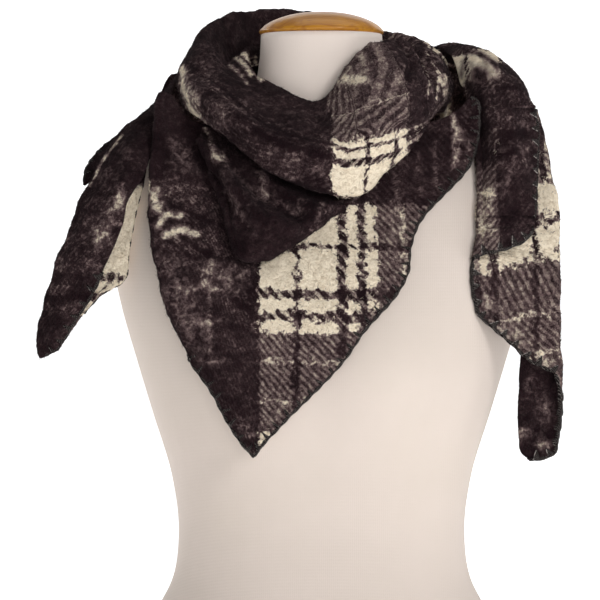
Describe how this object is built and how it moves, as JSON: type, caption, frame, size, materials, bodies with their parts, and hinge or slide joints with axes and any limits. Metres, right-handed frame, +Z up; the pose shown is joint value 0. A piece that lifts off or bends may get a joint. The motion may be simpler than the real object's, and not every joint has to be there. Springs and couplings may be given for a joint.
{
  "type": "triangle scarf on a dress form",
  "caption": "Triangle scarf of thick brushed wool plaid, wound as a roll round the neck with its point in front and both ends over the shoulders, on a limbless dress form.",
  "frame": {"origin": "centre of the dress form's flat base, on the surface that it stands on", "axes": "+Z up along the neck, the chest faces -Y, +X is the right side as seen from the front"},
  "size_m": [0.4515, 0.2577, 0.6578],
  "materials": {
    "form_jersey": "smooth cream jersey",
    "cap_wood": "clear varnish",
    "scarf_wool": "brushed wool plaid in black, grey and cream"
  },
  "bodies": {
    "root": {"form_body": "form_jersey", "neck_cap": "cap_wood", "scarf_neck_roll": "scarf_wool", "scarf_back_upper": "scarf_wool", "scarf_back_lower": "scarf_wool", "scarf_bib": "scarf_wool", "scarf_middle_fold": "scarf_wool", "scarf_left_tail": "scarf_wool", "scarf_left_behind": "scarf_wool", "scarf_right_shoulder": "scarf_wool", "scarf_right_tail": "scarf_wool"}
  },
  "joints": []
}
